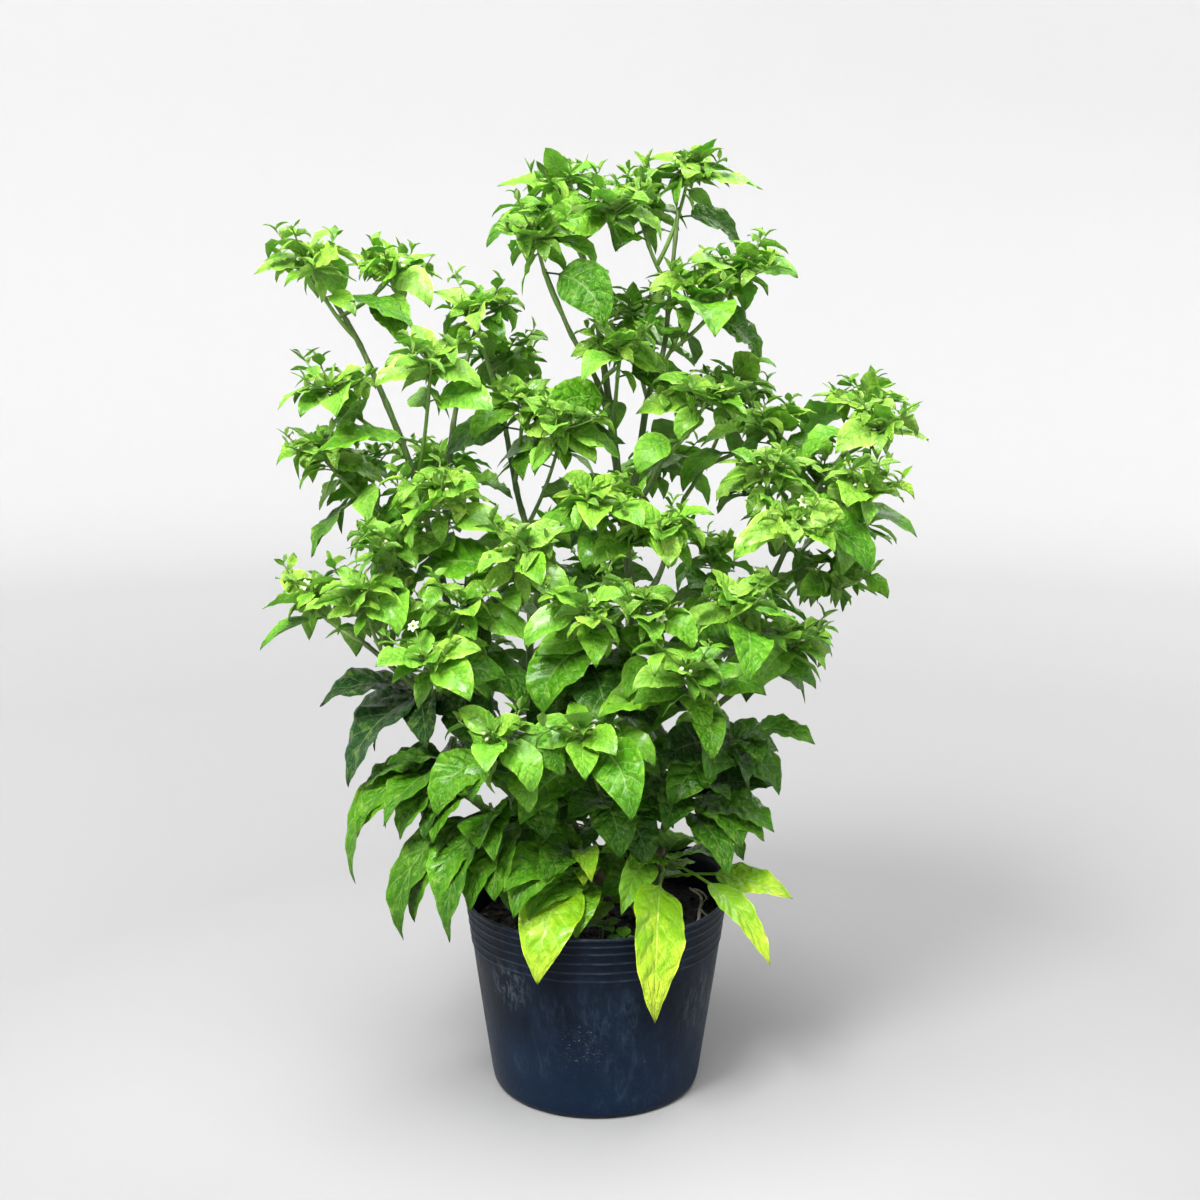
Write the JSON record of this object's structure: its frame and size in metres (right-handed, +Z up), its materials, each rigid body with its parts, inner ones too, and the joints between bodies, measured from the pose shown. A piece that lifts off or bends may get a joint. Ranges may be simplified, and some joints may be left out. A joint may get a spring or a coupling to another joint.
{
  "type": "potted chilli pepper plant",
  "caption": "Bushy chilli pepper plant with forked woody stems, leafy shoots and drooping old leaves, growing in a tapered soft nursery pot of dark soil.",
  "frame": {"origin": "centre of the pot's underside, on the floor it stands on", "axes": "+Z up, -Y the front seen in the picture, +X to the viewer's right"},
  "size_m": [0.5858, 0.4038, 0.8468],
  "materials": {
    "pot": "matte, dusty",
    "soil": "damp bark-based potting mix",
    "dry_twig": "dry, weathered",
    "stem": "green bark, brown at the foot",
    "old_leaves": "satin leaf",
    "young_leaves": "satin leaf"
  },
  "bodies": {
    "root": {"pot": "pot", "soil": "soil", "dry_twig": "dry_twig", "woody_stem": "stem", "spray_front": "old_leaves", "spray_front_left": "old_leaves", "spray_left_low": "old_leaves", "spray_left_edge": "old_leaves", "spray_left_dark": "old_leaves", "spray_centre_dark": "old_leaves", "spray_centre_low": "old_leaves", "spray_right_low": "old_leaves", "spray_right_mid": "old_leaves", "spray_back_low": "old_leaves", "spray_back_right": "old_leaves", "shoot_top_centre": "young_leaves", "shoot_top_left_of_centre": "young_leaves", "shoot_top_right": "young_leaves", "shoot_upper_right": "young_leaves", "shoot_upper_front": "young_leaves", "shoot_upper_back": "young_leaves", "shoot_top_left": "young_leaves", "shoot_left_of_centre_top": "young_leaves", "shoot_left_of_centre_front": "young_leaves", "shoot_left_high": "young_leaves", "shoot_left_far": "young_leaves", "shoot_centre_left_front": "young_leaves", "shoot_right_of_centre_front": "young_leaves", "shoot_right_of_centre_back": "young_leaves", "shoot_right_top": "young_leaves", "shoot_right_front": "young_leaves", "shoot_right_far": "young_leaves", "shoot_right_edge": "young_leaves", "shoot_right_low_front": "young_leaves", "shoot_right_low_back": "young_leaves", "shoot_front_right": "young_leaves", "shoot_front_centre": "young_leaves", "shoot_front_high": "young_leaves", "shoot_front_left": "young_leaves", "shoot_left_front": "young_leaves", "shoot_left_low": "young_leaves", "shoot_left_low_front": "young_leaves", "shoot_left_mid_front": "young_leaves", "shoot_lime_front": "young_leaves", "shoot_front_low": "young_leaves", "shoot_back_high": "young_leaves", "shoot_back_left": "young_leaves", "shoot_back_centre": "young_leaves", "shoot_back_right": "young_leaves", "shoot_back_low_left": "young_leaves", "shoot_back_low": "young_leaves"}
  },
  "joints": []
}
